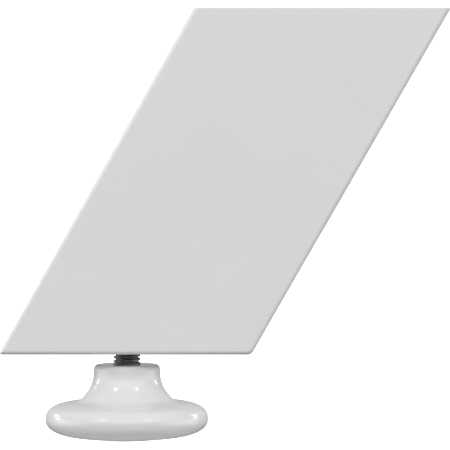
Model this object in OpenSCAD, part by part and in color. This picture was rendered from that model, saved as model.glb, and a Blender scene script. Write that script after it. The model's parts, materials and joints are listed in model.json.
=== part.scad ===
// Raked leg of folded sheet steel that stands on a screw-adjusted levelling foot.
// The origin is the middle of the mounting face on top. X runs with the lean, Y from front to back.

/* [Leg shell] */
// Height of the shell, from its lower edge to the mounting face
leg_h = 125; // [110:1:180]
// Width of the shell at the mounting face
top_w = 92.6; // [80:0.1:120]
// Width of the shell at its lower edge
low_w = 91.4; // [80:0.1:120]
// Depth of the shell, front to back
leg_d = 36; // [30:0.5:60]
// Lean of the leg's centre line from the vertical, in degrees
rake = 29.7; // [15:0.1:33]
// Thickness of the folded sheet
sheet = 1.5; // [1:0.1:1.8]
// Outside radius of the folds
fold_r = 1.6; // [1.6:0.1:2.2]
// Outside radius of the pointed lower corner
left_corner_r = 0.9; // [0.5:0.1:1.5]
// Outside radius of the blunt lower corner
right_corner_r = 2.7; // [2.3:0.1:4]

/* [Plates inside] */
// Thickness of the mounting plate
top_t = 5; // [4:0.5:8]
// Distance between the two mounting holes
bolt_gap = 56; // [45:1:60]
// Diameter of a mounting hole
bolt_hole = 9; // [7:0.1:11]
// Thickness of the plate that carries the foot nut
foot_plate_t = 4; // [3:0.5:6]
// Thickness of the stiffening web
web_t = 3; // [2:0.5:4]

/* [Rear cover] */
// Gap round the edge of the cover
cover_gap = 0.3; // [0.2:0.05:0.6]
// Width of each leg of the cover's angle rails
rail_w = 12; // [11:0.5:14]
// Height of a cover screw above the lower edge, or below the mounting face
screw_in = 17; // [14:0.5:24]
// Thread diameter of the cover screws
screw_d = 4; // [3:0.5:5]

/* [Levelling foot] */
// Thread diameter of the stud
stud_d = 10; // [8:1:10]
// Pitch of the stud's thread
pitch = 1.5; // [1:0.25:2]
// Length of the stud above its head
stud_l = 70; // [60:1:75]
// Size of the stud's hexagonal head and of the foot nut, across flats
hex_af = 17; // [16:0.5:17]
// Height of the stud's head
head_h = 6.4; // [5:0.1:7]
// Length of the foot nut
nut_h = 30; // [20:1:32]
// Height of the foot, from the floor to the top of its collar
foot_h = 27.1; // [26:0.1:32]
// Diameter of the foot
foot_d = 60; // [54:0.5:80]
// Diameter of the foot's collar
collar_d = 24.5; // [23:0.1:26]
// Stud left showing between the shell and the collar
stud_gap = 4.6; // [4.3:0.1:12]
// Diameter of the glide disc under the foot
glide_d = 28; // [26:0.5:32]
// Thickness of the glide disc
glide_t = 2.2; // [2.1:0.1:3]

/* [Hidden] */
$fn = 64;
past = 1;        // how far a cut runs past the face that it opens
skin = 0.01;     // thickness of a layer in a rounded hull
fold_steps = 8;
corner_steps = 12;
rim_steps = 14;
neck_steps = 10;

// Clearances
slip = 0.06;     // round a shaft that turns or slides, on the radius
free = 0.3;      // round a shaft that passes through a plain hole, on the radius
weld_gap = 0.6;  // beside a plate's edge, where a weld runs
seat = 0.02;     // between a raked wall and the plate or rail that is welded to it
press_gap = 0.05; // round a moulded pocket
screw_free = 0.25; // round a cover screw in the cover, on the radius

// Heights and depths of the leg
low_z = -leg_h;
far = 4 * leg_h;                     // longer than any wall, for trims
front_y = -leg_d / 2;
back_y = leg_d / 2;
cover_y = back_y - sheet;            // inner face of the rear cover
foot_x = low_z * tan(rake);          // the foot stands under the middle of the lower edge
inner_low = low_z + sheet;           // floor inside the shell
nut_z = inner_low + foot_plate_t;    // underside of the foot nut

// Lean of the two side walls above the horizontal
low_left = foot_x - low_w / 2;
low_right = foot_x + low_w / 2;
left_lean = atan2(leg_h, -top_w / 2 - low_left);
right_lean = atan2(leg_h, top_w / 2 - low_right);

// Place of a side wall at height z, moved into the leg by inset
function left_x(z, inset) = low_left + (z - low_z) / tan(left_lean) + inset / sin(left_lean);
function right_x(z, inset) = low_right + (z - low_z) / tan(right_lean) - inset / sin(right_lean);

// Outline between two heights, set in from both side walls
function band(z0, z1, inset) = [
    [left_x(z0, inset), z0], [right_x(z0, inset), z0],
    [right_x(z1, inset), z1], [left_x(z1, inset), z1]];

// Cover screws: through the middle of the rails' free flanges
screw_inset = 2 * sheet + seat + (rail_w - sheet) / 2;
screw_low = low_z + screw_in;
screw_high = -screw_in;
screw_spots = [
    [left_x(screw_low, screw_inset), screw_low], [right_x(screw_low, screw_inset), screw_low],
    [left_x(screw_high, screw_inset), screw_high], [right_x(screw_high, screw_inset), screw_high]];
screw_l = 8;                         // under the head
screw_head_r = 0.95 * screw_d;
screw_head_h = 0.55 * screw_d;
socket_af = 0.625 * screw_d;
nut_spigot_r = screw_d / 2 + 0.7;    // of a cover nut, in its rail
nut_body_r = screw_d / 2 + 1.8;
nut_body_h = 3;

// Heights of the foot, from the floor up
floor_z = low_z - stud_gap - foot_h;
glide_room = glide_t + 0.1;          // depth of the glide disc's recess
plug_t = 3.3;
washer_t = 2;
washer_z = glide_room + plug_t;
head_z = washer_z + washer_t;
thread_z = head_z + head_h;
plug_r = hex_af / sqrt(3) + 1.2;     // covers the head's corners
glide_rim = 0.3;                     // round the glide disc
base_lift = 0.6;                     // the moulding clears the floor by this
rim_r = foot_d / 2;
rim_z = 7.1;                         // the foot is widest here
rim_fullness = 2.4;                  // 2 would make its rim an ellipse, and more makes it blunter
shoulder_r = collar_d / 2 + 5.85;    // where the neck meets the base
shoulder_z = 13.3;
neck_z = foot_h - 1.9;               // the collar is straight above this
neck_flare = 2.45;                   // 1 would make the neck a cone, and more a trumpet
collar_edge = 1.6;
shank_d = 5;                         // of the glide screw, where the disc turns on it
thread_d = 3;                        // of the glide screw, in the plug
glide_head_r = 4;
glide_head_z = 0.3;
glide_head_t = 1;

steel = "dimgray";
zinc = "silver";
paint = "white";

// ---- Shapes that repeat ----

// An X-Z outline as a slab between two depths
module slab(outline, y0, y1)
    translate([0, y1, 0]) rotate([90, 0, 0]) linear_extrude(y1 - y0) polygon(outline);

// A cylinder along Y between two depths
module cross_pin(spot, r, y0, y1)
    translate([spot[0], y1, spot[1]]) rotate([90, 0, 0]) cylinder(r = r, h = y1 - y0);

// A hexagonal bar, across flats
module hex_bar(af, h) cylinder(r = af / sqrt(3), h = h, $fn = 6);

// Points of a rounded lower corner of the leg's outline, set in from its walls
function corner_points(inset, r, left) =
    let (round_r = max(r - inset, skin), z = low_z + inset + round_r,
         x = left ? left_x(z, inset + round_r) : right_x(z, inset + round_r),
         from = left ? 90 + left_lean : 270, sweep = left ? 180 - left_lean : right_lean)
    [for (k = [0:corner_steps]) let (t = from + sweep * k / corner_steps)
        [x + round_r * cos(t), z + round_r * sin(t)]];

function leg_outline(inset) = concat(
    corner_points(inset, left_corner_r, true), corner_points(inset, right_corner_r, false),
    [[right_x(0, inset), 0], [left_x(0, inset), 0]]);

// An angle rail on the inside of a side wall, along +X, with the wall outwards at +Z
module rail() {
    translate([0, cover_y - rail_w, -sheet]) cube([far, rail_w, sheet]);
    translate([0, cover_y - sheet, -rail_w]) cube([far, sheet, rail_w]);
}

// What lies between the two plates, where the rails' ends are cut level
module between_plates()
    slab(band(nut_z + weld_gap, -top_t - weld_gap, 0), front_y, back_y);

// ---- The leg ----

module front_shell()
    color(paint) difference() {
        hull() {
            slab(leg_outline(0), front_y + fold_r, back_y);
            for (k = [1:fold_steps]) let (t = 90 * k / fold_steps, y = front_y + fold_r * (1 - sin(t)))
                slab(leg_outline(fold_r * (1 - cos(t))), y, y + skin);
        }
        slab(band(inner_low, past, sheet), front_y + sheet, back_y + past);
        translate([foot_x, 0, low_z - past]) cylinder(d = stud_d + 4 * free, h = sheet + 2 * past);
    }

module rear_cover()
    color(paint) difference() {
        slab(band(inner_low + cover_gap, -cover_gap, sheet + cover_gap), cover_y, back_y);
        for (spot = screw_spots) cross_pin(spot, screw_d / 2 + screw_free, cover_y - past, back_y + past);
    }

module top_plate()
    color(paint) difference() {
        slab(band(-top_t, 0, sheet + seat), front_y + sheet + weld_gap, cover_y - cover_gap);
        for (side = [-1, 1])
            translate([side * bolt_gap / 2, 0, -top_t - past]) cylinder(d = bolt_hole, h = top_t + 2 * past);
    }

module foot_plate()
    color(paint) difference() {
        slab(band(inner_low, nut_z, sheet + weld_gap), front_y + sheet + weld_gap, cover_y - cover_gap);
        translate([foot_x, 0, inner_low - past])
            cylinder(d = stud_d + 2 * free, h = foot_plate_t + 2 * past);
    }

module foot_nut()
    color(paint) translate([foot_x, 0, nut_z]) difference() {
        hex_bar(hex_af, nut_h);
        translate([0, 0, -past]) cylinder(r = stud_d / 2 + slip, h = nut_h + 2 * past);
    }

// Leans with the leg, from the foot plate beside the nut to the middle of the mounting plate
module stiffener_web() {
    foot = foot_x + hex_af;
    head = foot + (-top_t - nut_z) * tan(rake);
    color(paint) slab([[foot, nut_z], [foot + web_t, nut_z], [head + web_t, -top_t], [head, -top_t]],
                     front_y + sheet, cover_y - rail_w);
}

module left_cover_rail()
    color(paint) difference() {
        intersection() {
            translate([left_x(low_z, sheet + seat), 0, low_z]) rotate([0, -left_lean, 0]) rail();
            between_plates();
        }
        for (i = [0, 2]) cross_pin(screw_spots[i], nut_spigot_r + slip, cover_y - rail_w, back_y);
    }

module right_cover_rail()
    color(paint) difference() {
        intersection() {
            translate([right_x(low_z, sheet + seat), 0, low_z]) rotate([0, -right_lean, 0]) mirror([0, 0, 1]) rail();
            between_plates();
        }
        for (i = [1, 3]) cross_pin(screw_spots[i], nut_spigot_r + slip, cover_y - rail_w, back_y);
    }

// Press nut: its body lies on the rail and its spigot fills the rail's hole
module cover_nut(i)
    color(zinc) difference() {
        union() {
            cross_pin(screw_spots[i], nut_body_r, cover_y - sheet - nut_body_h, cover_y - sheet);
            cross_pin(screw_spots[i], nut_spigot_r, cover_y - sheet, cover_y);
        }
        cross_pin(screw_spots[i], screw_d / 2 + slip, cover_y - sheet - nut_body_h - past, cover_y + past);
    }

// Domed head with a hexagonal socket
module cover_screw(i) {
    rise = screw_head_h;
    steps = 8;
    dome = [for (k = [0:steps]) [screw_head_r * cos(90 * k / steps), rise * sin(90 * k / steps)]];
    color(zinc) translate([screw_spots[i][0], back_y, screw_spots[i][1]]) rotate([-90, 0, 0]) difference() {
        union() {
            rotate_extrude() polygon(concat([[0, 0]], dome));
            translate([0, 0, -screw_l]) cylinder(d = screw_d, h = screw_l);
        }
        translate([0, 0, rise / 2]) hex_bar(socket_af, rise);
    }
}

// ---- The foot, drawn from the floor up ----

module on_floor() translate([foot_x, 0, floor_z]) children();

// Points of a quarter turn between two angles, bulging more than an ellipse if fullness is over 2
function bulge(x, fullness) = sign(x) * pow(abs(x), 2 / fullness);
function quarter(cr, cz, a, b, from, to, fullness = 2) = [
    for (k = [0:rim_steps]) let (t = from + (to - from) * k / rim_steps)
        [cr + a * bulge(cos(t), fullness), cz + b * bulge(sin(t), fullness)]];

module foot_body() {
    low_r = glide_d / 2 + glide_rim;
    neck_r = collar_d / 2;
    outline = concat(
        quarter(low_r, rim_z, rim_r - low_r, rim_z - base_lift, -90, 0, rim_fullness),
        quarter(shoulder_r, rim_z, rim_r - shoulder_r, shoulder_z - rim_z, 90 / rim_steps, 90, rim_fullness),
        [for (k = [1:neck_steps]) let (u = k / neck_steps)
            [neck_r + (shoulder_r - neck_r) * pow(1 - u, neck_flare),
             shoulder_z + (neck_z - shoulder_z) * u]],
        quarter(neck_r - collar_edge, foot_h - collar_edge, collar_edge, collar_edge, 0, 90),
        [[0, foot_h], [0, base_lift]]);
    color(paint) on_floor() difference() {
        rotate_extrude($fn = 96) polygon(outline);
        cylinder(r = low_r, h = glide_room);
        cylinder(r = plug_r + press_gap, h = head_z);
        hex_bar(hex_af + 2 * press_gap, thread_z);
        cylinder(r = stud_d / 2 + press_gap, h = foot_h + past);
    }
}

// The thread is drawn as rings, crest and root, along the whole shank
module stud() {
    crest = stud_d / 2;
    root = crest - 0.6134 * pitch;
    turns = floor((stud_l - pitch) / pitch);
    rings = [for (k = [0:turns - 1], p = [[crest, 0], [crest, 0.125], [root, 0.4375], [root, 0.6875]])
        [p[0], (k + p[1]) * pitch]];
    color(steel) on_floor() {
        translate([0, 0, head_z]) hex_bar(hex_af, head_h);
        translate([0, 0, thread_z]) rotate_extrude()
            polygon(concat([[0, 0]], rings, [[crest, turns * pitch], [root, stud_l], [0, stud_l]]));
    }
}

module load_washer()
    color(zinc) on_floor() translate([0, 0, washer_z]) cylinder(r = plug_r, h = washer_t);

module base_plug()
    color("gray") on_floor() translate([0, 0, glide_room]) difference() {
        cylinder(r = plug_r, h = plug_t);
        translate([0, 0, -past]) cylinder(d = thread_d + 2 * slip, h = plug_t + 2 * past);
    }

// Shouldered screw: the disc turns between its head and the plug
module glide_screw()
    color(zinc) on_floor() {
        translate([0, 0, glide_head_z]) cylinder(r = glide_head_r, h = glide_head_t);
        translate([0, 0, glide_head_z]) cylinder(d = shank_d, h = glide_room - glide_head_z);
        translate([0, 0, glide_head_z]) cylinder(d = thread_d, h = washer_z - glide_head_z - slip);
    }

module glide_disc()
    color("lightgray") on_floor() difference() {
        cylinder(d = glide_d, h = glide_t);
        translate([0, 0, -past]) cylinder(d = shank_d + 2 * slip, h = glide_t + 2 * past);
        translate([0, 0, -past])
            cylinder(r = glide_head_r + free, h = glide_head_z + glide_head_t + slip + past);
    }

front_shell();
rear_cover();
top_plate();
foot_plate();
foot_nut();
stiffener_web();
left_cover_rail();
right_cover_rail();
for (i = [0:3]) cover_nut(i);
for (i = [0:3]) cover_screw(i);
foot_body();
stud();
load_washer();
base_plug();
glide_screw();
glide_disc();
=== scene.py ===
# %% [markdown]
# # A raked leg with a levelling foot
# This is the floor end of a shop's security gate: a white box of folded sheet steel that leans, and
# under it a round moulded foot on a threaded stud. Turning the foot by hand lifts or lowers the gate.
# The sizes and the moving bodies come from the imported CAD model. What is made here is how each piece
# looks: its rounded edges, its thread and its finish.

# %% Load the CAD model
import json
import math

import bmesh
import bpy
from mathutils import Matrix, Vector


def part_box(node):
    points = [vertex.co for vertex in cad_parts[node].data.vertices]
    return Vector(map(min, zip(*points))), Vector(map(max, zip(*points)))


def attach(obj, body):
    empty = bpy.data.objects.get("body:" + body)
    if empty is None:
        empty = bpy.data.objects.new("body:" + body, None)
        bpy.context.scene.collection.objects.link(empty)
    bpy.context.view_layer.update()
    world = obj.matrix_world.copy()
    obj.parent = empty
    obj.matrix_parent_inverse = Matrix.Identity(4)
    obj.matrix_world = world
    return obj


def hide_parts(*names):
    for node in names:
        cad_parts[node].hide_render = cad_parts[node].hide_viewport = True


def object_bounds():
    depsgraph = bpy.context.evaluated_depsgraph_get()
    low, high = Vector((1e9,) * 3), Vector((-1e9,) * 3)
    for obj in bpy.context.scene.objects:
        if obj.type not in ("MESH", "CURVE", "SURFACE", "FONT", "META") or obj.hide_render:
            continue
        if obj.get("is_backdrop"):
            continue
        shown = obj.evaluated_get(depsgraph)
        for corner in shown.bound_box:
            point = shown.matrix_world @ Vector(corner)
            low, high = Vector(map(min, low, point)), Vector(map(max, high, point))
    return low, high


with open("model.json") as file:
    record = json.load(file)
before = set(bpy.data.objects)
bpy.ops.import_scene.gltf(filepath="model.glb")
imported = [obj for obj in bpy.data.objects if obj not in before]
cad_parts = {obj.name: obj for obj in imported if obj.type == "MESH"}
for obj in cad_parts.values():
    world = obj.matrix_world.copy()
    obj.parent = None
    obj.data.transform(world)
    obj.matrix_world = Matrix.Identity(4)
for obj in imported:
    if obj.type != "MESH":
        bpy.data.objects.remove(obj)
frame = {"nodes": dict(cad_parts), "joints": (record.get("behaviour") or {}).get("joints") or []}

cad_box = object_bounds()

# %% [markdown]
# ## Where things are
# Blender works in metres, while a maker of such a leg thinks in millimetres. Every size below is
# written in millimetres, and `MM` turns it into metres. Places are read from the boxes of the CAD
# nodes wherever a box gives them, so a new CAD size moves the looks with it.

# %% Places read from the CAD model
MM = 0.001

shell_low, shell_high = (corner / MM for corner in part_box("front_shell"))
foot_low, foot_high = (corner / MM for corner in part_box("foot_body"))
disc_low, disc_high = (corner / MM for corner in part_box("glide_disc"))
stud_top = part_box("stud")[1].z / MM

front, back = shell_low.y, shell_high.y
bottom, top = shell_low.z, shell_high.z
foot_x = (foot_low.x + foot_high.x) / 2
floor_z = disc_low.z
foot_travel = next(joint["range_m"] for joint in frame["joints"] if joint["name"] == "foot_height")
print(f"leg {top - bottom:.1f} mm high")
print(f"foot axis at x = {foot_x:.2f} mm, foot stands at z = {floor_z:.1f} mm")
print(f"the foot moves from {foot_travel[0] / MM:.1f} to {foot_travel[1] / MM:.1f} mm")

# %% [markdown]
# ## The camera
# The leg is seen square from the front through a long lens, so its sides stay hidden and its edges
# stay straight. The camera stands about seven tenths of a metre away and is level with the middle of
# the object, so it looks down on the foot a little, and shows the top of its collar as a thin ellipse.

# %% Camera
SENSOR_WIDTH = 36
LENS = 156.6
CAMERA_DISTANCE = 705
CAMERA_MOVED = (-0.07, 0.17)
LOOKING_LEVEL = math.radians(90)

middle = (cad_box[0] + cad_box[1]) / 2
camera_data = bpy.data.cameras.new("camera")
camera_data.sensor_width = SENSOR_WIDTH
camera_data.lens = LENS
camera = bpy.data.objects.new("camera", camera_data)
camera.location = (middle.x + CAMERA_MOVED[0] * MM, (front - CAMERA_DISTANCE) * MM,
                   middle.z + CAMERA_MOVED[1] * MM)
camera.rotation_euler = (LOOKING_LEVEL, 0, 0)
bpy.context.scene.collection.objects.link(camera)
bpy.context.scene.camera = camera
print("camera at", [round(value, 4) for value in camera.location])

# %% [markdown]
# ## The studio
# A white object on a white ground needs care: if light comes equally from all sides, its edges
# vanish. So the studio is a pale floor under a soft sky that is brightest in front and low at the
# sides, dimmer behind and above, and dark below, while the backdrop itself looks white all round. Small
# lamps in front and at the sides add the gleams on the foot. The floor is left out of bounced light, as
# if it were dark card just out of view, so that the undersides keep their shade, and a small light
# table under the foot lifts its belly a little. The floor lies just below the foot's lowest place, so
# that the foot can screw down without sinking into it.

# %% Studio helpers
def add_node(tree, kind, inputs=(), **settings):
    """A shader node with its settings, its constant inputs and its links."""
    node = tree.nodes.new(kind)
    for name, value in settings.items():
        setattr(node, name, value)
    for socket, value in dict(inputs).items():
        if isinstance(value, bpy.types.NodeSocket):
            tree.links.new(value, node.inputs[socket])
        else:
            node.inputs[socket].default_value = value
    return node


def remap(tree, value, low, high, out_low=0.0, out_high=1.0):
    """A value between low and high, spread smoothly over out_low to out_high."""
    node = add_node(tree, "ShaderNodeMapRange", {"Value": value, "From Min": low, "From Max": high,
                                                 "To Min": out_low, "To Max": out_high},
                    interpolation_type="SMOOTHSTEP")
    return node.outputs["Result"]


# %% Sky
SKY_FRONT = 2.42
SKY_SIDES = 0.2
SKY_BACK = 0.53
SKY_ABOVE = 0.52
SKY_BELOW = 0.1
LOW_FRONT = 0.3
LOW_SIDES = 2.8
BACKDROP = 1.1

# Where one part of the sky fades into the next: the first value belongs to the old part
FRONT_TO_SIDES = (-0.75, -0.15)
SIDES_TO_BACK = (0.2, 0.7)
HIGH_TO_LOW = (0.4, 0.1)
SIDES_TO_ABOVE = (0.45, 0.9)
LOW_TO_BELOW = (-0.02, -0.3)

world = bpy.data.worlds.new("studio_sky")
bpy.context.scene.world = world
world.use_nodes = True
sky = world.node_tree
sky.nodes.clear()
direction = add_node(sky, "ShaderNodeTexCoord").outputs["Generated"]
towards = add_node(sky, "ShaderNodeSeparateXYZ", {0: direction}).outputs
high_part = remap(sky, towards["Y"], *FRONT_TO_SIDES, SKY_FRONT, SKY_SIDES)
low_part = remap(sky, towards["Y"], *FRONT_TO_SIDES, LOW_FRONT, LOW_SIDES)


def fade(tree, share, old, new):
    """The old value where the share is 0, the new one where it is 1."""
    return add_node(tree, "ShaderNodeMix", {"Factor": share, "A": old, "B": new}).outputs["Result"]


strength = fade(sky, remap(sky, towards["Z"], *HIGH_TO_LOW), high_part, low_part)
strength = fade(sky, remap(sky, towards["Y"], *SIDES_TO_BACK), strength, SKY_BACK)
strength = fade(sky, remap(sky, towards["Z"], *SIDES_TO_ABOVE), strength, SKY_ABOVE)
strength = fade(sky, remap(sky, towards["Z"], *LOW_TO_BELOW), strength, SKY_BELOW)
seen_directly = add_node(sky, "ShaderNodeLightPath").outputs["Is Camera Ray"]
strength = fade(sky, seen_directly, strength, BACKDROP)
background = add_node(sky, "ShaderNodeBackground", {"Color": (1, 1, 1, 1), "Strength": strength})
add_node(sky, "ShaderNodeOutputWorld", {"Surface": background.outputs[0]})
print("sky made of", len(sky.nodes), "nodes")

# %% Floor
FLOOR_HALF = 30
FLOOR_GAP = 0.1
PAPER_SHADE = 0.93
PAPER_ROUGHNESS = 0.9
PAPER_GLOW = 0.9

ground_z = floor_z + foot_travel[0] / MM - FLOOR_GAP
floor_corners = [(-FLOOR_HALF, -FLOOR_HALF, 0), (FLOOR_HALF, -FLOOR_HALF, 0),
                 (FLOOR_HALF, FLOOR_HALF, 0), (-FLOOR_HALF, FLOOR_HALF, 0)]
floor_mesh = bpy.data.meshes.new("floor")
floor_mesh.from_pydata(floor_corners, [], [(0, 1, 2, 3)])
floor = bpy.data.objects.new("floor", floor_mesh)
floor.location = (foot_x * MM, 0, ground_z * MM)
floor.visible_diffuse = False
floor.visible_glossy = False
bpy.context.scene.collection.objects.link(floor)
floor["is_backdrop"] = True

paper = bpy.data.materials.new("floor_paper")
paper.use_nodes = True
paper_shader = paper.node_tree.nodes["Principled BSDF"]
paper_shader.inputs["Base Color"].default_value = (PAPER_SHADE, PAPER_SHADE, PAPER_SHADE, 1)
paper_shader.inputs["Roughness"].default_value = PAPER_ROUGHNESS
paper_shader.inputs["Specular IOR Level"].default_value = 0.0
paper_shader.inputs["Emission Color"].default_value = (1, 1, 1, 1)
paper_shader.inputs["Emission Strength"].default_value = PAPER_GLOW
floor_mesh.materials.append(paper)
print(f"floor at z = {ground_z:.1f} mm")

# %% Lamps
LAMP_LIFT = 0.05
LAMP_AIM = 15
LAMP_DISTANCE = 1.1
TABLE_RADIUS = 38
TABLE_WATTS = 0.0155
# For each lamp: turn round from the camera and rise from level in degrees, size in metres, watts
LAMPS = {"left_front_lamp": (-39, 43, 0.16, 0.85), "right_front_lamp": (39, 43, 0.16, 0.8),
         "left_side_lamp": (-112, 11, 0.16, 0.6), "right_side_lamp": (117, 13, 0.16, 0.5),
         "left_neck_lamp": (-125, 20, 0.16, 1.0), "right_neck_lamp": (126, 24, 0.20, 0.7)}


def light_table(name, radius, watts):
    """A round lamp that lies on the floor under the foot and shines up."""
    lamp = bpy.data.lights.new(name, "AREA")
    lamp.shape = "DISK"
    lamp.size = 2 * radius * MM
    lamp.energy = watts
    holder = bpy.data.objects.new(name, lamp)
    holder.location = Vector((foot_x, 0, ground_z + LAMP_LIFT)) * MM
    holder.rotation_euler = (math.pi, 0, 0)
    holder.visible_camera = False
    holder.visible_glossy = False
    bpy.context.scene.collection.objects.link(holder)


def soft_lamp(name, turn_deg, rise_deg, size, watts):
    """A square lamp aimed at the foot."""
    turn, rise = math.radians(turn_deg), math.radians(rise_deg)
    outwards = Vector((math.sin(turn) * math.cos(rise), -math.cos(turn) * math.cos(rise), math.sin(rise)))
    lamp = bpy.data.lights.new(name, "AREA")
    lamp.size = size
    lamp.energy = watts
    holder = bpy.data.objects.new(name, lamp)
    holder.location = Vector((foot_x, 0, floor_z + LAMP_AIM)) * MM + outwards * LAMP_DISTANCE
    holder.rotation_euler = (-outwards).to_track_quat("-Z", "Y").to_euler()
    bpy.context.scene.collection.objects.link(holder)


light_table("light_table", TABLE_RADIUS, TABLE_WATTS)
for name, settings in LAMPS.items():
    soft_lamp(name, *settings)

bpy.context.scene.view_settings.view_transform = "Standard"

# %% [markdown]
# ## Finishes
# Each finish is a material made of nodes, so it has no pictures and no seams. All of them measure in
# metres on the object itself: noise with a scale of 700 has grains of about a millimetre and a half.
# Powder coat is paint baked from dust, and it shows a faint orange-peel relief. Moulded plastic is
# smoother and glossier. The stud is blackened steel, and the fasteners are zinc plated.

# %% Finish helpers
def new_finish(name):
    """A material with an empty principled shader, ready for its parts."""
    finish = bpy.data.materials.new(name)
    finish.use_nodes = True
    tree = finish.node_tree
    shader = tree.nodes["Principled BSDF"]
    position = add_node(tree, "ShaderNodeTexCoord").outputs["Object"]
    return finish, tree, shader, position


def grain(tree, position, scale, detail=3.0, roughness=0.5, stretch=None):
    """Noise between 0 and 1; stretch makes it longer along an axis, as brushing does."""
    if stretch:
        mapping = add_node(tree, "ShaderNodeMapping", {"Vector": position, "Scale": stretch})
        position = mapping.outputs["Vector"]
    return add_node(tree, "ShaderNodeTexNoise", {"Vector": position, "Scale": scale, "Detail": detail,
                                                 "Roughness": roughness}).outputs["Fac"]


def tint(tree, amount, dark, light):
    """A colour between two, by an amount between 0 and 1."""
    return add_node(tree, "ShaderNodeMix", {"Factor": amount, "A": (*dark, 1), "B": (*light, 1)},
                    data_type="RGBA").outputs["Result"]


def relief(tree, height, depth, below=None):
    """A bump of the given depth in metres."""
    inputs = {"Height": height, "Distance": depth, "Strength": 1.0}
    if below:
        inputs["Normal"] = below
    return add_node(tree, "ShaderNodeBump", inputs).outputs["Normal"]


# %% [markdown]
# ## Powder coat
# The leg is sprayed with charged powder and baked. The coat flows into a skin with a very fine relief,
# like orange peel, and its gloss varies a little from place to place. Two sizes of noise make the
# relief, and a third, slow one varies the gloss and the tint.

# %% Powder coat
PEEL_SCALE = 620
PEEL_DEPTH = 0.000012
DUST_SCALE = 2600
DUST_DEPTH = 0.0000025
CLOUD_SCALE = 34
PAINT_DARK = (0.805, 0.805, 0.803)
PAINT_LIGHT = (0.835, 0.835, 0.833)
PAINT_ROUGHNESS = (0.40, 0.50)


def powder_coat():
    finish, tree, shader, position = new_finish("white_powder_coat")
    peel = grain(tree, position, PEEL_SCALE, detail=2.0)
    dust = grain(tree, position, DUST_SCALE, detail=1.0)
    cloud = grain(tree, position, CLOUD_SCALE, detail=4.0)
    paint = tint(tree, cloud, PAINT_DARK, PAINT_LIGHT)
    shader.inputs["Specular IOR Level"].default_value = 0.42
    tree.links.new(paint, shader.inputs["Base Color"])
    tree.links.new(remap(tree, cloud, 0.3, 0.7, *PAINT_ROUGHNESS), shader.inputs["Roughness"])
    fine = relief(tree, dust, DUST_DEPTH)
    tree.links.new(relief(tree, peel, PEEL_DEPTH, fine), shader.inputs["Normal"])
    return finish


# %% [markdown]
# ## Moulded plastic
# The foot is moulded from white nylon. Its skin copies a polished mould, so it is glossier than the
# leg. Slow, shallow waves are the sink marks over thick walls, and a fine grain keeps the gleams soft.

# %% Moulded plastic
WAVE_SCALE = 60
WAVE_DEPTH = 0.00004
SKIN_SCALE = 1900
SKIN_DEPTH = 0.000002


def moulded_plastic(name, dark, light, smooth_part, rough_part):
    finish, tree, shader, position = new_finish(name)
    wave = grain(tree, position, WAVE_SCALE, detail=2.0)
    skin_grain = grain(tree, position, SKIN_SCALE, detail=2.0)
    tree.links.new(tint(tree, wave, dark, light), shader.inputs["Base Color"])
    tree.links.new(remap(tree, skin_grain, 0.2, 0.8, rough_part, smooth_part), shader.inputs["Roughness"])
    shader.inputs["IOR"].default_value = 1.5
    fine = relief(tree, skin_grain, SKIN_DEPTH)
    tree.links.new(relief(tree, wave, WAVE_DEPTH, fine), shader.inputs["Normal"])
    return finish


# %% [markdown]
# ## Steel
# Blackened steel is dark and slightly uneven. Zinc plate is a bright grey with faint streaks. Both are
# metals, so what shows is mostly what they reflect, and their own colour only tints it.

# %% Steel
STREAK_SCALE = 900
STREAK_DEPTH = 0.000006
PATCH_SCALE = 160


def plated_steel(name, dark, light, smooth_part, rough_part, stretch):
    finish, tree, shader, position = new_finish(name)
    streak = grain(tree, position, STREAK_SCALE, detail=3.0, stretch=stretch)
    patch = grain(tree, position, PATCH_SCALE, detail=4.0)
    tree.links.new(tint(tree, patch, dark, light), shader.inputs["Base Color"])
    tree.links.new(remap(tree, streak, 0.25, 0.75, smooth_part, rough_part), shader.inputs["Roughness"])
    shader.inputs["Metallic"].default_value = 1.0
    tree.links.new(relief(tree, streak, STREAK_DEPTH), shader.inputs["Normal"])
    return finish


WHITE_PAINT = powder_coat()
WHITE_PLASTIC = moulded_plastic("white_nylon", (0.75, 0.75, 0.75), (0.78, 0.78, 0.78), 0.13, 0.19)
GREY_PLASTIC = moulded_plastic("grey_nylon", (0.10, 0.10, 0.105), (0.14, 0.14, 0.145), 0.55, 0.68)
BLACK_STEEL = plated_steel("blackened_steel", (0.22, 0.22, 0.222), (0.29, 0.288, 0.285), 0.30, 0.44,
                           (1, 1, 0.4))
ZINC = plated_steel("zinc_plate", (0.52, 0.53, 0.55), (0.62, 0.63, 0.64), 0.28, 0.42, (1, 1, 0.2))
print("finishes:", [m.name for m in bpy.data.materials])

# %% [markdown]
# ## Ways to make a piece
# Most pieces are turned: a stack of rings round an axis, like work on a lathe, and a ring may also be a
# hexagon, for sockets and heads. The back cover is a plate, the leg is folded, and the thread climbs, so
# each of those has a way of its own further down. What they share comes first: points and faces become
# an object, sharp edges can be broken, and every piece is dressed with a finish, a body to ride on and
# smooth shading that breaks only at real corners.

# %% Piece helpers
WELD_DISTANCE = 0.002
SLIVER = 0.001
SHARP_FROM_DEG = 32
BEVEL_FROM_DEG = 50
BEVEL_STEPS = 2


def new_object(name, points, faces, weld=False):
    """An object from points in millimetres, with its faces turned outwards."""
    mesh = bpy.data.meshes.new(name)
    mesh.from_pydata([Vector(point) * MM for point in points], [], faces)
    work = bmesh.new()
    work.from_mesh(mesh)
    if weld:
        bmesh.ops.remove_doubles(work, verts=work.verts, dist=WELD_DISTANCE * MM)
        bmesh.ops.dissolve_degenerate(work, edges=work.edges, dist=SLIVER * MM)
    bmesh.ops.recalc_face_normals(work, faces=work.faces)
    work.to_mesh(mesh)
    work.free()
    made = bpy.data.objects.new(name, mesh)
    bpy.context.scene.collection.objects.link(made)
    return made


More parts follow.
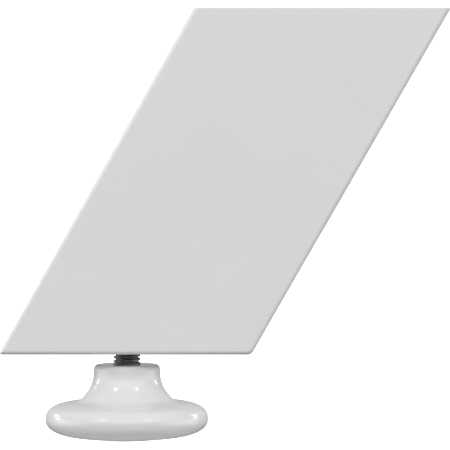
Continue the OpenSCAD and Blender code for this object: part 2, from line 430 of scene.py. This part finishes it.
def make_piece(name, points, faces, finish, body, replaced, sharp_from_deg=SHARP_FROM_DEG):
    """A mesh piece, given in millimetres, that rides on a body and stands for CAD nodes."""
    piece = new_object(name, points, faces, weld=True)
    return dress(piece, finish, body, replaced, sharp_from_deg)


def break_edges(piece, width):
    """Rounds a piece's sharp edges; the width is in millimetres."""
    edge = piece.modifiers.new("broken_edges", "BEVEL")
    edge.width = width * MM
    edge.segments = BEVEL_STEPS
    edge.limit_method = "ANGLE"
    edge.angle_limit = math.radians(BEVEL_FROM_DEG)


def dress(piece, finish, body, replaced, sharp_from_deg=SHARP_FROM_DEG):
    """Shades a piece smoothly except at its corners, finishes it and fixes it to its body."""
    mesh = piece.data
    work = bmesh.new()
    work.from_mesh(mesh)
    for face in work.faces:
        face.smooth = True
    for edge in work.edges:
        if len(edge.link_faces) == 2:
            edge.smooth = edge.calc_face_angle() < math.radians(sharp_from_deg)
    open_edges = sum(1 for edge in work.edges if len(edge.link_faces) != 2)
    work.to_mesh(mesh)
    work.free()
    shading = piece.modifiers.new("flat_faces", "WEIGHTED_NORMAL")
    shading.keep_sharp = True
    mesh.materials.clear()
    mesh.materials.append(finish)
    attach(piece, body)
    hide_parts(*replaced)
    print(f"{piece.name}: {len(mesh.vertices)} points, {len(mesh.polygons)} faces, {open_edges} open edges")
    return piece


def apply_modifiers(piece):
    """Freezes a piece's modifiers into its mesh."""
    shaped = piece.evaluated_get(bpy.context.evaluated_depsgraph_get())
    mesh = bpy.data.meshes.new_from_object(shaped)
    piece.modifiers.clear()
    piece.data = mesh


# %% Turned pieces
SIDES = 48
HEXAGON = 6


def ring(radius, height, sides, flats=0):
    """Points of a round or hexagonal ring. For a hexagon the radius is half the size across flats."""
    points = []
    for k in range(sides):
        turn = math.tau * k / sides
        reach = radius
        if flats:
            reach = radius / math.cos(turn % (math.tau / flats) - math.pi / flats)
        points.append((reach * math.cos(turn), reach * math.sin(turn), height))
    return points


def rings_of(sections, sides):
    """Rings from sections, each a radius, a height and, for a hexagon, its number of flats."""
    return [ring(radius, height, sides, *flats) for radius, height, *flats in sections]


def turned(rings, closed=False):
    """Points and faces of a stack of rings.

    Closed joins the last ring to the first; otherwise both ends are capped.
    """
    sides = len(rings[0])
    points = [point for one in rings for point in one]
    faces = []
    for j in range(len(rings) if closed else len(rings) - 1):
        for k in range(sides):
            a, b = j * sides + k, j * sides + (k + 1) % sides
            shift = ((j + 1) % len(rings) - j) * sides
            faces.append((a, b, b + shift, a + shift))
    if not closed:
        faces.append(tuple(range(sides)))
        faces.append(tuple(range((len(rings) - 1) * sides, len(rings) * sides)))
    return points, faces


def moved(points, x=0.0, y=0.0, z=0.0):
    return [(px + x, py + y, pz + z) for px, py, pz in points]


def facing_back(points):
    """Turns a piece made along Z so that it points to the back of the leg, along Y."""
    return [(px, pz, -py) for px, py, pz in points]


def bulge(value, fullness):
    return math.copysign(abs(value) ** (2 / fullness), value)


def arc(centre_r, centre_z, width, height, from_deg, to_deg, steps, fullness=2):
    """Points of part of an ellipse, as radius and height pairs; a fullness over 2 makes it blunter."""
    angles = [math.radians(from_deg + (to_deg - from_deg) * k / steps) for k in range(steps + 1)]
    return [(centre_r + width * bulge(math.cos(angle), fullness),
             centre_z + height * bulge(math.sin(angle), fullness)) for angle in angles]


# %% [markdown]
# ## The leg's outline
# Both raked sides are straight, and the leg narrows by about a millimetre towards its lower edge. All
# pieces of the leg share one outline: the x of a side at any height, moved inwards by an inset. The
# lower corners are rounded, the pointed one tightly and the blunt one more.

# %% Outline of the leg
TOP_WIDTH = 92.6
LOW_WIDTH = 91.4
SHEET = 1.5
FOLD_RADIUS = 1.6
POINTED_CORNER = 0.9
BLUNT_CORNER = 2.7
TIGHTEST_CORNER = 0.08
CORNER_STEPS = 14
FOLD_STEPS = 8

leg_height = top - bottom
low_left = foot_x - LOW_WIDTH / 2
low_right = foot_x + LOW_WIDTH / 2
left_lean = math.atan2(leg_height, -TOP_WIDTH / 2 - low_left)
right_lean = math.atan2(leg_height, TOP_WIDTH / 2 - low_right)
print(f"left side leans {math.degrees(left_lean):.2f} degrees")
print(f"right side leans {math.degrees(right_lean):.2f} degrees")


def left_x(height, inset):
    return low_left + (height - bottom) / math.tan(left_lean) + inset / math.sin(left_lean)


def right_x(height, inset):
    return low_right + (height - bottom) / math.tan(right_lean) - inset / math.sin(right_lean)


def corner_points(inset, radius, left):
    """The rounded lower corner of the outline, moved inwards by the inset."""
    radius = max(radius - inset, TIGHTEST_CORNER)
    height = bottom + inset + radius
    x = left_x(height, inset + radius) if left else right_x(height, inset + radius)
    start = math.pi / 2 + left_lean if left else 1.5 * math.pi
    sweep = math.pi - left_lean if left else right_lean
    turns = [start + sweep * k / CORNER_STEPS for k in range(CORNER_STEPS + 1)]
    return [(x + radius * math.cos(turn), height + radius * math.sin(turn)) for turn in turns]


def leg_outline(inset):
    """From the top of the left side down, along the lower edge, and up to the top of the right side."""
    return [(left_x(top, inset), top), *corner_points(inset, POINTED_CORNER, True),
            *corner_points(inset, BLUNT_CORNER, False), (right_x(top, inset), top)]


# %% [markdown]
# ## The folded shell
# The shell is one sheet of steel, one and a half millimetres thick, folded back along both sides and
# the lower edge, then welded at the two lower corners and ground round. It could be a solid block with
# a bevel, but then the open top and back would need cutting out. Instead it is laid up in rings, from
# the back edge forward round the folds to the front face, and the same way back on the inside.

# %% Folded shell
STUD_HOLE_RADIUS = 5.6
HOLE_SIDES = 48
CUT_EDGE = 0.14


def drill(piece, radius, centre, length):
    """Cuts an upright round hole through a piece."""
    points, faces = turned([ring(radius, height, HOLE_SIDES) for height in (-length / 2, length / 2)])
    bit = new_object("drill", moved(points, *centre), faces)
    cut = piece.modifiers.new("hole", "BOOLEAN")
    cut.operation = "DIFFERENCE"
    cut.solver = "EXACT"
    cut.object = bit
    apply_modifiers(piece)
    bpy.data.objects.remove(bit)


def folded_shell():
    folds = [math.radians(90 * k / FOLD_STEPS) for k in range(FOLD_STEPS + 1)]
    outside = [(back, 0.0)]
    outside += [(front + FOLD_RADIUS * (1 - math.sin(t)), FOLD_RADIUS * (1 - math.cos(t))) for t in folds]
    inside = [(front + SHEET, SHEET), (back, SHEET)]
    layers = [[(x, y, z) for x, z in leg_outline(inset)] for y, inset in outside + inside]
    count = len(layers[0])
    points = [point for layer in layers for point in layer]
    faces = []
    front_layer = len(outside) - 1
    for j in range(len(layers)):
        nxt = (j + 1) % len(layers)
        if j == front_layer:
            continue
        for k in range(count - 1):
            faces.append((j * count + k, j * count + k + 1, nxt * count + k + 1, nxt * count + k))
    faces.append(tuple(range(front_layer * count, (front_layer + 1) * count)))
    faces.append(tuple(range((front_layer + 1) * count, (front_layer + 2) * count)))
    for side in (0, count - 1):
        faces.append(tuple(j * count + side for j in range(len(layers))))
    first, second = front_layer * count, (front_layer + 1) * count
    faces.append((first, first + count - 1, second + count - 1, second))
    shell = new_object("leg_shell", points, faces)
    drill(shell, STUD_HOLE_RADIUS, (foot_x, 0, bottom), 4 * SHEET)
    break_edges(shell, CUT_EDGE)
    apply_modifiers(shell)
    return dress(shell, WHITE_PAINT, "leg", ["front_shell"])


folded_shell()

# %% [markdown]
# ## The back cover
# The back of the leg is closed by a plate let in between the sides, held by four screws. A plate with
# holes is easiest to draw as a flat curve: Blender fills between the outline and the holes, gives it
# thickness, and rounds its edges in one go.

# %% Plates
PLATE_EDGE = 0.25
PLATE_CORNER = 1.2
COVER_GAP = 0.3
SCREW_FROM_END = 17
RAIL_WIDTH = 12
SCREW_HOLE_RADIUS = 2.25


def rounded(corners, radius, steps=6):
    """An outline with each corner rounded."""
    points = []
    for k, corner in enumerate(corners):
        here = Vector(corner)
        before = (Vector(corners[k - 1]) - here).normalized()
        after = (Vector(corners[(k + 1) % len(corners)]) - here).normalized()
        half_angle = before.angle(after) / 2
        centre = here + (before + after).normalized() * radius / math.sin(half_angle)
        reach = radius / math.tan(half_angle)
        start = here + before * reach - centre
        end = here + after * reach - centre
        for j in range(steps + 1):
            share = j / steps
            spoke = (start * (1 - share) + end * share).normalized() * radius
            points.append(tuple(centre + spoke))
    return points


def plate(name, outline, holes, y_front, y_back, finish, body, replaced):
    """A plate parallel to the front of the leg, from an X-Z outline and round holes (x, z, radius)."""
    drawing = bpy.data.curves.new(name, "CURVE")
    drawing.dimensions = "2D"
    drawing.fill_mode = "BOTH"
    drawing.extrude = (y_back - y_front) / 2 * MM - PLATE_EDGE * MM
    drawing.bevel_depth = PLATE_EDGE * MM
    drawing.bevel_resolution = 2
    drawing.offset = -PLATE_EDGE * MM
    loops = [outline]
    for x, z, radius in holes:
        loops.append([(px + x, pz + z) for px, pz, _ in ring(radius, 0, HOLE_SIDES)])
    for loop in loops:
        spline = drawing.splines.new("POLY")
        spline.points.add(len(loop) - 1)
        for point, (x, z) in zip(spline.points, loop):
            point.co = (x * MM, z * MM, 0, 1)
        spline.use_cyclic_u = True
    sketch = bpy.data.objects.new(name + "_sketch", drawing)
    bpy.context.scene.collection.objects.link(sketch)
    mesh = bpy.data.meshes.new_from_object(sketch.evaluated_get(bpy.context.evaluated_depsgraph_get()))
    bpy.data.objects.remove(sketch)
    middle_y = (y_front + y_back) / 2
    points = [(p.co.x / MM, middle_y - p.co.z / MM, p.co.y / MM) for p in mesh.vertices]
    faces = [tuple(face.vertices) for face in mesh.polygons]
    bpy.data.meshes.remove(mesh)
    return make_piece(name, points, faces, finish, body, replaced)


# %% Back cover
inner_bottom = bottom + SHEET
screw_inset = 2 * SHEET + (RAIL_WIDTH - SHEET) / 2
low_row, high_row = bottom + SCREW_FROM_END, top - SCREW_FROM_END
screw_places = [(left_x(low_row, screw_inset), low_row), (right_x(low_row, screw_inset), low_row),
                (left_x(high_row, screw_inset), high_row), (right_x(high_row, screw_inset), high_row)]


def back_cover():
    inset = SHEET + COVER_GAP
    low, high = inner_bottom + COVER_GAP, top - COVER_GAP
    corners = [(left_x(low, inset), low), (right_x(low, inset), low),
               (right_x(high, inset), high), (left_x(high, inset), high)]
    holes = [(x, z, SCREW_HOLE_RADIUS) for x, z in screw_places]
    return plate("back_cover", rounded(corners, PLATE_CORNER), holes, back - SHEET, back,
                 WHITE_PAINT, "leg", ["rear_cover"])


back_cover()

# %% [markdown]
# ## The cover's screws
# Each screw has a low dome with a hexagonal socket. It is turned in rings: the ring at the mouth of
# the socket and the ones below it are hexagons with as many points as the round ones, so the dome runs
# into the socket without a seam.

# %% Cover screws
SCREW_RADIUS = 2.0
HEAD_RADIUS = 3.8
HEAD_HEIGHT = 2.2
SOCKET_FLATS = 2.5
SOCKET_DEPTH = 1.15
SCREW_LENGTH = 8
SCREW_TIP = (0.3, 0.4)
DOME_START = 0.25
DOME_INSET = 0.08
DOME_DEG = 66
DOME_STEPS = 9
SOCKET_LIP = 0.12
SOCKET_LIP_DEPTH = 0.08
SOCKET_EDGE_DEPTH = 0.2
SOCKET_POINT = 0.3
# The small steps that round the head's underside: how far in from its radius, and how high
HEAD_ROUNDING = ((0.2, 0.0), (0.02, 0.12))


def cover_screw(number, x, z):
    tip_narrowing, tip_length = SCREW_TIP
    socket, socket_floor = SOCKET_FLATS / 2, HEAD_HEIGHT - SOCKET_DEPTH
    sections = [(SCREW_RADIUS - tip_narrowing, -SCREW_LENGTH), (SCREW_RADIUS, -SCREW_LENGTH + tip_length),
                (SCREW_RADIUS, 0)]
    sections += [(HEAD_RADIUS - inwards, height) for inwards, height in HEAD_ROUNDING]
    sections += arc(0, DOME_START, HEAD_RADIUS - DOME_INSET, HEAD_HEIGHT - DOME_START,
                    0, DOME_DEG, DOME_STEPS)
    sections += [(socket + SOCKET_LIP, HEAD_HEIGHT - SOCKET_LIP_DEPTH, HEXAGON),
                 (socket, HEAD_HEIGHT - SOCKET_EDGE_DEPTH, HEXAGON),
                 (socket, socket_floor, HEXAGON), (SOCKET_POINT, socket_floor - SOCKET_POINT)]
    points, faces = turned(rings_of(sections, SIDES))
    return make_piece(f"cover_screw_{number}_domed", moved(facing_back(points), x, back, z), faces,
                      ZINC, "leg", [f"cover_screw_{number}"])


for number, (x, z) in enumerate(screw_places, start=1):
    cover_screw(number, x, z)

# %% [markdown]
# ## The moulded foot
# The foot is round, so it is turned from one outline: a collar round the stud, a waist that flares out
# like a trumpet, and a base like a flat cushion. The outline is a chain of arcs. It carries on inside,
# round the recess of the glide disc and up through the pocket that holds the stud's hexagonal head.

# %% Foot outline
FOOT_SIDES = 128
COLLAR_RADIUS = 12.25
COLLAR_EDGE = 1.6
NECK_TOP = 1.9
NECK_FLARE = 2.45
SHOULDER_RADIUS = 18.1
SHOULDER_HEIGHT = 13.3
RIM_HEIGHT = 7.1
RIM_RADIUS = 29.99
RIM_FULLNESS = 2.4
DISC_RECESS_RADIUS = 14.3
DISC_RECESS_HEIGHT = 2.3
PLUG_POCKET_RADIUS = 11.065
POCKET_HEIGHT = 7.6
HEAD_FLATS = 17.1
THREAD_START = 14.0
BORE_RADIUS = 5.05
BASE_LIFT = 0.6
BORE_LIP = 0.35
LOW_RIM_STEPS = 28
HIGH_RIM_STEPS = 24
COLLAR_STEPS = 8
BEND_STARTS = -3
BEND_ENDS = 1
FOOT_SHARP_FROM_DEG = 40

foot_height = foot_high.z - floor_z
neck_top = foot_height - NECK_TOP


def waist(steps=16):
    """From the shoulder up to the collar, flaring like a trumpet."""
    flare = SHOULDER_RADIUS - COLLAR_RADIUS
    rise = neck_top - SHOULDER_HEIGHT
    return [(COLLAR_RADIUS + flare * (1 - k / steps) ** NECK_FLARE, SHOULDER_HEIGHT + rise * k / steps)
            for k in range(1, steps + 1)]


def soft_corner(before, corner, after, steps=8):
    """A smooth bend that stands for a corner, from the point before it to the point after it."""
    shares = [k / steps for k in range(steps + 1)]
    return [tuple((1 - t) ** 2 * b + 2 * t * (1 - t) * c + t ** 2 * a
                  for b, c, a in zip(before, corner, after)) for t in shares]


def moulded_foot():
    low = arc(DISC_RECESS_RADIUS, RIM_HEIGHT, RIM_RADIUS - DISC_RECESS_RADIUS, RIM_HEIGHT - BASE_LIFT,
              -90, 0, LOW_RIM_STEPS, RIM_FULLNESS)
    high = arc(SHOULDER_RADIUS, RIM_HEIGHT, RIM_RADIUS - SHOULDER_RADIUS, SHOULDER_HEIGHT - RIM_HEIGHT,
               3, 90, HIGH_RIM_STEPS, RIM_FULLNESS)
    neck = waist()
    collar = arc(COLLAR_RADIUS - COLLAR_EDGE, foot_height - COLLAR_EDGE, COLLAR_EDGE, COLLAR_EDGE,
                 0, 90, COLLAR_STEPS)
    # The bend replaces the last points of the base and the first ones of the neck
    bend = soft_corner(high[BEND_STARTS], high[-1], neck[BEND_ENDS])
    sections = low + high[:BEND_STARTS] + bend + neck[BEND_ENDS + 1:] + collar
    sections += [(BORE_RADIUS + BORE_LIP, foot_height), (BORE_RADIUS, foot_height - BORE_LIP),
                 (BORE_RADIUS, THREAD_START)]
    sections += [(HEAD_FLATS / 2, THREAD_START, HEXAGON), (HEAD_FLATS / 2, POCKET_HEIGHT, HEXAGON)]
    sections += [(PLUG_POCKET_RADIUS, POCKET_HEIGHT), (PLUG_POCKET_RADIUS, DISC_RECESS_HEIGHT),
                 (DISC_RECESS_RADIUS, DISC_RECESS_HEIGHT)]
    points, faces = turned(rings_of(sections, FOOT_SIDES), closed=True)
    return make_piece("moulded_foot", moved(points, foot_x, 0, floor_z), faces,
                      WHITE_PLASTIC, "foot", ["foot_body"], FOOT_SHARP_FROM_DEG)


moulded_foot()

# %% [markdown]
# ## The threaded stud
# A thread is one long ridge wound round a rod. Cutting it as separate rings looks wrong where it shows
# between the leg and the foot, since a real thread climbs. Here the rows of points climb as they go
# round, a pitch for each turn, so where a turn closes, each row meets the row that is one pitch higher.
# The ridge fades out near both ends, where all its rows run together into one plain ring.

# %% Threaded stud
PITCH = 1.5
CREST = 4.99
THREAD_DEPTH = 0.85
THREAD_SIDES = 64
THREAD_TURNED = 0.5625
STUD_HEAD_PLAY = 0.05
STUD_SHARP_FROM_DEG = 60
# Shares of the pitch, and of the thread's depth there, once across its profile
PROFILE = ((0.0, 1.0), (0.08, 1.0), (0.16, 0.86), (0.32, 0.16),
           (0.42, 0.0), (0.66, 0.0), (0.76, 0.16), (0.92, 0.86))


def threaded_stud():
    length = stud_top - floor_z - THREAD_START
    root = CREST - THREAD_DEPTH
    turns = math.ceil(length / PITCH)
    rows = [(turn + share, depth) for turn in range(-1, turns) for share, depth in PROFILE]
    rows.append((turns, 1.0))
    points = []
    for pitches, depth in rows:
        for k in range(THREAD_SIDES):
            height = min(max((pitches + k / THREAD_SIDES) * PITCH, 0.0), length)
            ridge = min(1.0, height / PITCH, (length - height) / PITCH)
            radius = root + THREAD_DEPTH * (1 - depth) * ridge
            turn = math.tau * (k / THREAD_SIDES + THREAD_TURNED)
            points.append((radius * math.cos(turn), radius * math.sin(turn), THREAD_START + height))
    faces = []
    last = len(rows) - 1
    for j in range(last):
        for k in range(THREAD_SIDES):
            following = (k + 1) % THREAD_SIDES
            climb = len(PROFILE) if following == 0 else 0
            lower, upper = min(j + climb, last), min(j + 1 + climb, last)
            faces.append((j * THREAD_SIDES + k, lower * THREAD_SIDES + following,
                          upper * THREAD_SIDES + following, (j + 1) * THREAD_SIDES + k))
    faces.append(tuple(last * THREAD_SIDES + k for k in range(THREAD_SIDES)))
    start = len(points)
    head_radius = HEAD_FLATS / 2 - STUD_HEAD_PLAY
    head, head_faces = turned(rings_of([(head_radius, THREAD_START, HEXAGON),
                                        (head_radius, POCKET_HEIGHT, HEXAGON)], THREAD_SIDES))
    turned_back = round(THREAD_TURNED * THREAD_SIDES)
    points += head
    # The head's upper cap is left out: the faces below join the head to the thread there
    upper_cap = tuple(range(THREAD_SIDES))
    faces += [tuple(start + k for k in face) for face in head_faces if face != upper_cap]
    for k in range(THREAD_SIDES):
        following = (k + 1) % THREAD_SIDES
        faces.append((k, following, start + (following + turned_back) % THREAD_SIDES,
                      start + (k + turned_back) % THREAD_SIDES))
    return make_piece("threaded_stud", moved(points, foot_x, 0, floor_z), faces,
                      BLACK_STEEL, "foot", ["stud"], STUD_SHARP_FROM_DEG)


threaded_stud()

# %% [markdown]
# ## The glide disc and its screw
# The disc stays still on the floor while the foot turns on it, so that the floor isn't scratched. It is
# turned too: a flat ring with rounded edges, shallow grooves that let grit escape, and a step in its
# middle that hides the head of the shouldered screw.

# %% Glide disc
DISC_RADIUS = 14.0
DISC_EDGE = 0.5
GROOVES = (7.6, 9.6, 11.6)
GROOVE_WIDTH = 0.5
GROOVE_DEPTH = 0.35
DISC_BORE = 2.56
STEP_RADIUS = 4.3
STEP_HEIGHT = 1.36
STEP_CHAMFER = 0.3

disc_thickness = disc_high.z - disc_low.z


def glide_disc():
    outline = [(STEP_RADIUS, STEP_HEIGHT), (STEP_RADIUS, STEP_CHAMFER), (STEP_RADIUS + STEP_CHAMFER, 0.0)]
    for groove in GROOVES:
        outline += [(groove - GROOVE_WIDTH, 0.0), (groove - GROOVE_WIDTH / 2, GROOVE_DEPTH),
                    (groove + GROOVE_WIDTH / 2, GROOVE_DEPTH), (groove + GROOVE_WIDTH, 0.0)]
    outline += arc(DISC_RADIUS - DISC_EDGE, DISC_EDGE, DISC_EDGE, DISC_EDGE, -90, 0, 5)
    outline += arc(DISC_RADIUS - DISC_EDGE, disc_thickness - DISC_EDGE, DISC_EDGE, DISC_EDGE, 0, 90, 5)
    outline += [(DISC_BORE, disc_thickness), (DISC_BORE, STEP_HEIGHT)]
    points, faces = turned(rings_of(outline, SIDES * 2), closed=True)
    return make_piece("grooved_disc", moved(points, foot_x, 0, floor_z), faces,
                      GREY_PLASTIC, "glide", ["glide_disc"])


glide_disc()

# %% Glide screw
GLIDE_HEAD_RADIUS = 4.0
GLIDE_HEAD_LOW = 0.3
GLIDE_HEAD_HIGH = 1.3
SHANK_RADIUS = 2.5
TIP_RADIUS = 1.5
TIP_HEIGHT = 5.54
GLIDE_SOCKET = 3.0
GLIDE_CHAMFER = 0.3
SOCKET_CHAMFER = 0.1
SOCKET_PAST_HEAD = 0.4


def glide_screw():
    socket = GLIDE_SOCKET / 2
    socket_end = GLIDE_HEAD_HIGH + SOCKET_PAST_HEAD
    sections = [(SOCKET_POINT, socket_end + SOCKET_CHAMFER), (socket, socket_end, HEXAGON),
                (socket, GLIDE_HEAD_LOW + SOCKET_CHAMFER, HEXAGON),
                (socket + SOCKET_CHAMFER, GLIDE_HEAD_LOW, HEXAGON),
                (GLIDE_HEAD_RADIUS - GLIDE_CHAMFER, GLIDE_HEAD_LOW),
                (GLIDE_HEAD_RADIUS, GLIDE_HEAD_LOW + GLIDE_CHAMFER),
                (GLIDE_HEAD_RADIUS, GLIDE_HEAD_HIGH), (SHANK_RADIUS, GLIDE_HEAD_HIGH),
                (SHANK_RADIUS, DISC_RECESS_HEIGHT), (TIP_RADIUS, DISC_RECESS_HEIGHT),
                (TIP_RADIUS, TIP_HEIGHT - GLIDE_CHAMFER), (TIP_RADIUS - GLIDE_CHAMFER, TIP_HEIGHT)]
    points, faces = turned(rings_of(sections, SIDES))
    return make_piece("shouldered_screw", moved(points, foot_x, 0, floor_z), faces,
                      ZINC, "foot", ["glide_screw"])


glide_screw()

# %% [markdown]
# ## The CAD pieces that stay
# The mounting plate, the foot plate, the long nut, the web, the rails and the press nuts are right as
# they come: flat plates and plain round parts. They keep their CAD shapes and get the same finishes,
# and a hair-thin rounding on their edges, because no cut steel has a perfectly sharp corner.

# %% Finish the CAD pieces
EDGE_BREAK = 0.12
CAD_FINISHES = {"top_plate": WHITE_PAINT, "foot_plate": WHITE_PAINT, "foot_nut": WHITE_PAINT,
                "stiffener_web": WHITE_PAINT, "left_cover_rail": WHITE_PAINT, "right_cover_rail": WHITE_PAINT,
                "load_washer": ZINC, "base_plug": GREY_PLASTIC}
CAD_FINISHES.update({f"cover_nut_{number}": ZINC for number in range(1, 5)})

for name, finish in CAD_FINISHES.items():
    node = frame["nodes"][name]
    for material_slot in node.material_slots:
        material_slot.material = finish
    break_edges(node, EDGE_BREAK)
    print(name, "finished in", finish.name)

# %% [markdown]
# ## Check the size
# The looks must not be bigger than the CAD model, so both boxes are written down and compared.

# %% Sizes
looks_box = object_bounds()
for corner in range(2):
    apart = looks_box[corner] - cad_box[corner]
    print("looks minus CAD, mm:", [round(value / MM, 3) for value in apart])
